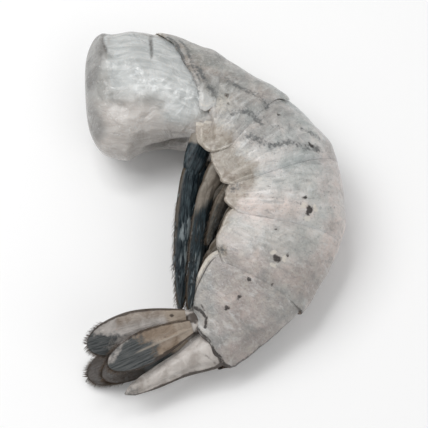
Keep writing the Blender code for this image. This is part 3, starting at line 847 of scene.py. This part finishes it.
def leaf(path, widths, depths, across, camber, crest, columns=40):
    """Rings of a lens-shaped section along a path.

    Across each ring the width goes as the cosine to the power of 0.8 and the depth as the sine. The middle
    is lifted by camber times the width times 1 minus the square of the place across, and crest adds a
    height.
    """
    run = unit(np.gradient(path, axis=0))
    wide = unit(across - run * np.einsum("ij,ij->i", across, run)[:, None])
    thick = np.cross(run, wide)
    turn = np.linspace(0, 2 * np.pi, columns, endpoint=False)[None, :]
    out = np.sign(np.cos(turn)) * np.abs(np.cos(turn)) ** 0.8 + 0.0 * widths[:, None]
    up = np.sin(turn)
    lift = depths[:, None] * up + camber * widths[:, None] * (1 - out**2)
    lift = lift + crest(out, np.linspace(0, 1, len(path))[:, None]) * np.sign(up) * np.abs(up) ** 0.5
    rings = path[:, None] + wide[:, None] * (widths[:, None] * out)[..., None]
    return rings + thick[:, None] * lift[..., None], out, wide, thick, run


def leaf_skin(rings, part, length, out, widths, paint, ends):
    """A leaf's closed skin, laid out by its length and its width."""
    return tube(rings, *ends, stacked(*paint), stacked(part * length, out * widths[:, None], 0.0))


def picked(place, *fields):
    """Fields along a path, read at fractional row numbers."""
    rows = np.arange(len(fields[0]))
    return [stacked(*(np.interp(place, rows, field[:, k]) for k in range(3))) for field in fields]


def fringe(path, widths, wide, run, first, last, count, length, lean, seed):
    """Hairs along both edges of a blade, from one share of its length to another, leaning to its tip."""
    rng = np.random.default_rng(seed)
    found = []
    for side in (-1, 1):
        at = np.linspace(first, last, count) + rng.uniform(-0.5, 0.5, count) * (last - first) / count
        edge = path + wide * (side * widths * 0.97)[:, None]
        root, outward, onward = picked(np.clip(at, 0, 1) * (len(path) - 1), edge, wide, run)
        way = unit(onward * np.cos(lean) + outward * side * np.sin(lean) + rng.normal(size=(count, 3)) * 0.1)
        found.append((hairs(root, way, length * rng.uniform(0.6, 1.15, count), 0.00007), FRINGE))
    return found


def strands(path, widths, wide, thick, run, count, seed):
    """Long bristles that lie along a blade's upper face, fanning a little to both sides of its run."""
    rng = np.random.default_rng(seed)
    place = rng.uniform(0.02, 0.72, count) * (len(path) - 1)
    out = rng.uniform(-0.85, 0.85, count)
    spine, outward, onward, face = picked(place, path, wide, run, thick)
    half = np.interp(place, np.arange(len(path)), widths)
    face = face * np.sign(face[:, 2:3])
    roots = spine + outward * (out * half)[:, None] + face * 0.00055 * (1 - out**2)[:, None]
    way = unit(onward + outward * (0.1 * out + rng.normal(size=count) * 0.05)[:, None] + face * 0.03)
    return hairs(roots, way, rng.uniform(0.003, 0.0065, count), 0.00013), BRISTLE


def leg_run(k, side, swing=0.0):
    """Places along the leg of pair k, counted from 0: how far each lies, and which way the leg is wide there.

    Its heading turns from the stem's to the blade's as a smooth step. It drops with the midline and leans
    inward, and swing turns the blade aside.
    """
    s, stem, whole = LEG_ROOTS[k][0], LEG_STEMS[k], LEG_STEMS[k] + LEG_BLADES[k]
    slope = (midline_height(s + 0.006) - midline_height(s)) / 0.006
    at = np.linspace(-LEG_TUCK, whole, LEG_STEPS + 1)
    start, finish = (math.radians(a) for a in LEG_HEADINGS[k])
    turn = start + (finish - start) * smooth((at - 0.4 * stem) / (0.9 * stem))
    turn = turn + math.radians(swing) * smooth((at - stem) / 0.006)
    drop = slope * np.cos(turn - np.radians(heading(s))) - side * math.tan(math.radians(LEG_INWARD))
    run = unit(stacked(np.cos(turn), -np.sin(turn), drop))
    places = np.concatenate([np.zeros((1, 3)), np.cumsum(run[:-1], 0)]) * ((whole + LEG_TUCK) / LEG_STEPS)
    places += curl(*LEG_ROOTS[k], side * LEG_SPREADS[k]) - places[np.searchsorted(at, 0.0)]
    twist = math.radians(LEG_TWISTS[k])
    across = stacked(np.sin(turn) * np.cos(twist), np.cos(turn) * np.cos(twist), -side * np.sin(twist))
    return places, at, across


def rows_between(at, low, high, count):
    """Rows of a leg's run whose places lie evenly from low to high."""
    return np.unique(np.clip(np.searchsorted(at, np.linspace(low, high, count)), 1, LEG_STEPS - 1))


def leg_stem(k, side):
    """The stout tan stem: a lens that narrows by a quarter towards a cuff, rounded off as a cube."""
    stem, first = LEG_STEMS[k], k == 0
    places, at, across = leg_run(k, side)
    rows = rows_between(at, -LEG_TUCK * 0.98, 1.06 * stem, 44)
    t = np.clip(at[rows] / (stem * 1.06), -1, 1)
    shown = np.maximum(t, 0)
    shut = np.sqrt(smooth((at[rows] + LEG_TUCK) / 0.0012) * np.clip(1 - shown**3, 0.02, 1))
    widths = LEG_STEM_WIDTHS[k] / 2 * (1 - 0.25 * shown**2) * shut
    depths = 0.0015 * (1 - 0.3 * shown) * shut

    def stem_crest(out, share):
        """Two low ridges beside a groove, each a bell, faded out at both ends."""
        return (0.00016 * hump(out, -0.35, 0.2) - 0.00014 * hump(out, 0.05, 0.16)
                + 0.0001 * hump(out, 0.55, 0.2)) * smooth(share * 3) * smooth((1 - share) * 4)

    rings, out, *_ = leaf(places[rows], widths, depths, across[rows], 0.05, stem_crest)
    rings[..., 2] += 0.00008 * lumps(rings, 0.0022, 41 + k)
    part = t[:, None] + 0 * out
    dark = smooth((part + 0.2) / 0.3) if first else 0.25 * rise(part, 0.6, 0.4)
    brown = most(hump(np.abs(out), 1.0, 0.1) * 0.8, hump(part, 0.97, 0.05)) * (0.5 if first else 1.0)
    # the third mask is a painted glint along the first stem's ridge
    paint = (dark, brown, 0.4 * hump(out, -0.35, 0.12) * first, 0.5 + 0.3 * np.cos(out * 3))
    ends = (places[rows[0] - 1], places[rows[-1] + 1])
    return leaf_skin(rings, part, stem, out, widths, paint, ends), LEG_SKIN


def leg_blade(k, side, reach, swing, thin, aside):
    """A ribbed blade with its fringe, and bristles on the first two legs.

    Its half width rises and falls as a sine and closes as the root of 1 - q^4.5 with q the share of its
    length. The second, shorter blade lies aside from the long one.
    """
    path, at, across = leg_run(k, side, swing)
    number, stem, blade = k + 1, LEG_STEMS[k], LEG_BLADES[k]
    start, end = stem * 0.72, stem + blade * reach
    rows = rows_between(at, start, end, 70)
    q = np.clip((at[rows] - start) / (end - start), 0, 1)
    widths = LEG_BLADE_WIDTH / 2 * thin * (0.82 + 0.3 * np.sin(np.pi * np.minimum(q / 0.8, 1.0)))
    widths = widths * np.sqrt(np.clip(1 - q**4.5, 0.0004, 1)) * (1 - 0.5 * (blade < 0.006))
    spine = path[rows] + aside * stacked(smooth(q * 2), 0.0, -side * smooth(q * 3))

    def blade_crest(out, part):
        """A midrib between two shallow grooves, and fine rings as a sine along the blade."""
        rings_round = 0.00004 * np.sin(part * blade * reach / 0.0006 * 2 * np.pi)
        return (0.00022 * hump(out, 0.0, 0.14) - 0.0001 * hump(np.abs(out), 0.32, 0.12)
                + rings_round) * smooth((1 - part) * 6)

    depths = 0.0008 * thin * (1 - 0.55 * q)
    rings, out, wide, thick, run = leaf(spine, widths, depths, across[rows], 0.1, blade_crest)
    part = q[:, None] + 0 * out
    dark = most(smooth((part + 0.1 * out * side - 0.02) / 0.22), k == 0) * (1.0, 0.72, 0.5, 0.4, 0.35)[k]
    # painted_glint: painted highlights along the midrib and near one edge, brightest halfway down the first
    # blade
    painted_glint = most(1.25 * hump(out, 0.1, 0.2) * (0.55 + 0.45 * np.sin(part * 19 + number)),
                 hump(out, -0.42, 0.12) * (0.5 + 0.5 * np.sin(part * 27 + 2 * number)))
    brown = most(rise(np.abs(out), 0.84, 0.12) * 0.75 + 0.5 * rise(part, 0.9, 0.1),
                 (0.8, 0.3, 0.2, 0.2, 0.2)[k] * rise(-out, 0.6, 0.3) * smooth((0.75 - part) * 3))
    if k == 0:
        painted_glint = painted_glint * (0.35 + hump(part, 0.5, 0.2)) + 0.35 * hump(part, 0.52, 0.14)
        brown = most(brown, 0.42 * rise(part, 0.7, 0.2))
    paint = (dark, brown, painted_glint * rise(part, 0.2, 0.25), 0.4)
    ends = (path[rows[0] - 1] + (spine[0] - path[rows[0]]), spine[-1] + run[-1] * 0.00015)
    found = [(leaf_skin(rings, part, blade, out, widths, paint, ends), LEG_SKIN)]
    seed, count = number + 7 * side, int(np.clip(blade * reach * 2200, 8, 44))
    found += fringe(spine, widths, wide, run, 0.25, 0.97, count, 0.0015, 0.45, 60 + seed)
    if number < 3:
        found.append(strands(spine, widths, wide, thick, run, 84, 90 + seed))
    return found


def swimming_leg(k, side):
    """A leg: a stout tan stem with a cuff, a long ribbed blade, a shorter second blade, and their fringes."""
    found = [leg_stem(k, side)]
    found += leg_blade(k, side, 1.0, 0.0, 1.0, 0.0)
    found += leg_blade(k, side, 0.72, 9.0 * side, 0.8, 0.0011)
    name = f"leg_{'left' if side > 0 else 'right'}_{k + 1}"
    make_piece(f"{name}_dressed", found, name)


def blade_line(root, heads, t, length):
    """Places along a straight blade behind the last joint, and which way it is wide.

    It points to the tail, then turns by yaw, pitch and roll in degrees.
    """
    s = JOINTS[-1] + root[0]
    turn, yaw, pitch, roll = (math.radians(a) for a in (heading(s), *heads))
    rear, back = (math.cos(turn), -math.sin(turn), 0.0), (math.sin(turn), math.cos(turn), 0.0)
    turned = np.array(Matrix((rear, (0.0, 0.0, 1.0), back)).transposed() @ Matrix.Rotation(-yaw, 3, "Y")
                      @ Matrix.Rotation(pitch, 3, "Z") @ Matrix.Rotation(roll, 3, "X"))
    return curl(s, *root[1:]) + t[:, None] * length * turned[:, 0], np.tile(turned[:, 1], (len(t), 1))


def tail_paint(name, part, out, strong, size):
    """A tail blade's four masks: blue-black end, dark edges, pale ridge and root, and silvery grey."""
    outer, hand = name.startswith("exopod"), 1.0 if "left" in name else -1.0
    start, fade = ((0.58 if outer else 0.3), 0.34) if hand > 0 else (0.06, 0.3)
    dark = smooth((part - start - 0.12 * out * hand + 0.06 * np.cos(out * 5)) / fade)
    edge = most(rise(np.abs(out), 0.82, 0.12) * (1.0 if outer else 0.85),
                0.55 * hump(out, strong + 0.17 * hand, 0.06) * smooth((0.8 - part) * 4))
    ridge = most(hump(out, strong, 0.09) * smooth((0.85 - part) * 3), 0.75 * fall(part, 0.26, 0.12))
    grey = (0.95 if outer else 0.3) * rise(part, 0.08, 0.2) * (0.75 + 0.25 * np.cos(out * 4))
    if name == "endopod_left":
        dark = dark * (1 - 0.45 * smooth((part - 0.84 + 0.28 * out) / 0.2))
        edge = most(edge, rise(-out, 0.62, 0.2) * smooth((0.62 - part) * 5))
    if name == "exopod_left":
        from_spot = np.hypot((part - 0.14) * size[0], (out - 0.5) * size[1] * 0.5)
        edge = most(edge, 1.1 * hump(from_spot, 0.0, 0.0006))
    if hand < 0:
        edge = most(edge, 0.84 * rise(part, 0.4, 0.25))
    return dark, edge, ridge, most(grey, rise(part, 0.6, 0.15))


def tail_blade(name, root, heads, size):
    """A fan blade: a lens whose half width grows as a quarter sine and closes as a rounded end.

    A strong rib runs along an outer blade's outer side, with a lower one near its middle, or along an inner
    blade's middle, and fine ribs lie between.
    """
    length, width = size
    t = np.sin(np.pi / 2 * np.linspace(0, 1, 90)) ** 1.1
    path, across = blade_line(root, heads, t, length)
    ending = np.sqrt(np.clip(1 - np.maximum((t - 0.45) / 0.55, 0.0) ** 2.6, 0.0006, 1))
    widths = width / 2 * (0.42 + 0.58 * np.sin(np.minimum(t / 0.62, 1.0) * np.pi / 2)) * ending
    depths = BLADE / 2 * (1.5 - 0.8 * t) * np.sqrt(np.clip(ending, 0.05, 1))
    outer, hand = name.startswith("exopod"), 1.0 if "left" in name else -1.0
    strong = -0.62 * hand * outer

    def rib_crest(out, _):
        """Ribs as bells across the blade and a fine cosine, lower towards the tip, faded out at both ends."""
        part = t[:, None]
        ribs = 0.00032 * hump(out, strong, 0.1) - 0.00012 * hump(out, strong + 0.2 * hand, 0.1)
        ribs = ribs + outer * 0.00018 * hump(out, 0.1 * hand, 0.09) + 0.0001 * hump(np.abs(out), 0.93, 0.05)
        ribs = (ribs + 0.00003 * np.cos(out * 34)) * (1 - 0.6 * part)
        return ribs * smooth((1 - part) * 5) * smooth(part * 9)

    rings, out, wide, _, run = leaf(path, widths, depths, across, 0.06, rib_crest, 72)
    part = t[:, None] + 0 * out
    paint = tail_paint(name, part, out, strong, size)
    ends = (path[0] - run[0] * 0.0002, path[-1] + run[-1] * 0.0001)
    skin = leaf_skin(rings, part, length, out, widths, paint, ends)
    hair = fringe(path, widths, wide, run, 0.62, 0.999, 46, 0.0011, 0.5, 80)
    make_piece(f"{name}_dressed", [(skin, TAIL_SKIN)] + hair, name)


def tail_base(name, start, finish, radius):
    """The stout base of two blades: a lens along a line with both ends rounded by the fourth power."""
    ends = [curl(JOINTS[-1] + p[0], p[1], p[2]) for p in (start, finish)]
    t = np.linspace(0.004, 0.996, 40)
    path = ends[0] + t[:, None] * (ends[1] - ends[0])
    rounded = radius * np.sqrt(1 - (2 * t - 1) ** 4)
    widths, depths = (0.9 + 0.55 * t) * rounded, (1.05 + 0.45 * t) * rounded

    def fold_crest(out, share):
        """A slanting wave, faded out at both ends."""
        return 0.00018 * np.sin(share * 9 + out * 2.5) * smooth(share * 5) * smooth((1 - share) * 5)

    across = np.tile((0.0, 0.0, 1.0), (len(t), 1))
    rings, out, *_ = leaf(path, widths, depths, across, 0.0, fold_crest, 48)
    part = t[:, None] + 0 * out
    edge = most(0.85 * rise(np.abs(out), 0.8, 0.16), 0.62 * hump(part + 0.2 * out**2, 0.74, 0.05))
    skin = leaf_skin(rings, part, 0.006, out, np.full(len(t), 0.001), (0.0, edge, 0.38, 0.9), ends)
    make_piece(f"{name}_dressed", [(skin, TAIL_SKIN)], name)


def telson_spike():
    """The pointed middle piece: a lens whose width falls as (1 - t)^0.56, grooved along its middle."""
    t = np.linspace(0, 0.995, 100)
    length = TELSON_SHOWN * TELSON_LENGTH
    path, across = blade_line((-0.0018, TELSON_UP, 0.0), (TELSON_YAW, 0.0, 0.0), t, length)
    taper, heel = (1 - t) ** 0.56, 0.6 + 0.4 * smooth(t / 0.05)
    widths = TELSON_WIDTH / 2 * taper * heel
    depths = TELSON_DEPTH / 2 * (0.25 + 0.75 * taper) * heel * np.minimum(1, taper * 4)
    depths = depths * (1 + 0.55 * fall(t, 0.5, 0.45))

    def groove_crest(out, share):
        """A groove between two ridges, each a bell, faded out at both ends."""
        cut = 0.00045 * hump(np.abs(out), 0.26, 0.12) - 0.00055 * hump(out, 0.0, 0.13)
        return (cut + 0.0001 * hump(np.abs(out), 0.75, 0.1)) * smooth((1 - share) * 3) * smooth(share * 6)

    columns = 72
    rings, out, _, _, run = leaf(path, widths, depths, across, 0.0, groove_crest, columns)
    part = t[:, None] + 0 * out
    up = np.sin(np.linspace(0, 2 * np.pi, columns, endpoint=False))[None, :] + 0 * part
    edge = most(hump(np.abs(up), 1.0, 0.035 + 0.012 * np.sin(part * 21)), 0.85 * fall(part, 0.115, 0.03),
                0.5 * hump(out, 0.0, 0.06) * smooth(part * 3),
                0.55 * hump(part - 0.1 * up, 0.23, 0.022) * smooth(-up * 2))
    paint = (0.55 * rise(part, 0.72, 0.28), edge, 0.6 * hump(np.abs(out), 0.28, 0.1), 0.8 - 0.1 * part)
    ends = (path[0] - run[0] * 0.0002, path[-1] + run[-1] * 0.00005)
    skin = leaf_skin(rings, part, TELSON_LENGTH, out, widths, paint, ends)
    make_piece("telson_spike", [(skin, TAIL_SKIN)], "telson")


# Table, light and camera

def pale_table():
    """A wide flat square of four corners just under the prawn, in an even pale finish."""
    mesh = bpy.data.meshes.new("table")
    corners = [(x, y, -0.00005) for x, y in ((-2, -2), (2, -2), (2, 2), (-2, 2))]
    mesh.from_pydata(corners, [], [(0, 1, 2, 3)])
    finish = bpy.data.materials.new("pale_table")
    finish.use_nodes = True
    surface = finish.node_tree.nodes["Principled BSDF"].inputs
    surface["Base Color"].default_value = (0.9, 0.9, 0.9, 1.0)
    surface["Roughness"].default_value = 0.75
    mesh.materials.append(finish)
    table = bpy.data.objects.new("table", mesh)
    bpy.context.scene.collection.objects.link(table)


def soft_box(name, place, size, power):
    """A square area lamp that looks at the prawn."""
    lamp = bpy.data.lights.new(name, "AREA")
    lamp.size, lamp.energy = size, power
    holder = bpy.data.objects.new(name, lamp)
    holder.location = place
    holder.rotation_euler = (-Vector(place)).to_track_quat("-Z", "Y").to_euler()
    bpy.context.scene.collection.objects.link(holder)


def studio():
    """Plain pale surroundings, soft boxes above and to the side, and the camera at the photograph's angle."""
    bpy.context.scene.view_settings.view_transform = "Standard"
    world = bpy.data.worlds.new("pale_room")
    world.use_nodes = True
    room = world.node_tree.nodes["Background"].inputs
    room["Color"].default_value = (1.0, 1.0, 1.0, 1.0)
    room["Strength"].default_value = 0.52
    bpy.context.scene.world = world
    soft_box("key_box", (-0.24, 0.12, 0.46), 0.34, 1.6)
    soft_box("fill_box", (0.3, -0.3, 0.4), 0.4, 0.4)
    soft_box("glint_box", (-0.06, 0.2, 0.5), 0.09, 0.22)
    camera = bpy.data.cameras.new("camera")
    camera.lens, camera.sensor_width = 150, 36
    holder = bpy.data.objects.new("camera", camera)
    height = math.radians(68.0)
    back = Vector((0.0, -math.cos(height), math.sin(height)))
    aim, distance = Vector((0.0, -0.0017, 0.0095)), 0.362
    holder.location = aim + back * distance
    holder.rotation_euler = (-back).to_track_quat("-Z", "Y").to_euler()
    camera.clip_start, camera.clip_end = 0.01, 20.0
    bpy.context.scene.collection.objects.link(holder)
    bpy.context.scene.camera = holder


muscle()
for plate_number in range(1, len(PLATES) + 1):
    shell_plate(plate_number)
for leg in range(len(LEG_BLADES)):
    for leg_side in (1, -1):
        swimming_leg(leg, leg_side)
for blade_row in TAIL_BLADES:
    tail_blade(*blade_row)
for base_row in TAIL_BASES:
    tail_base(*base_row)
telson_spike()
pale_table()
studio()
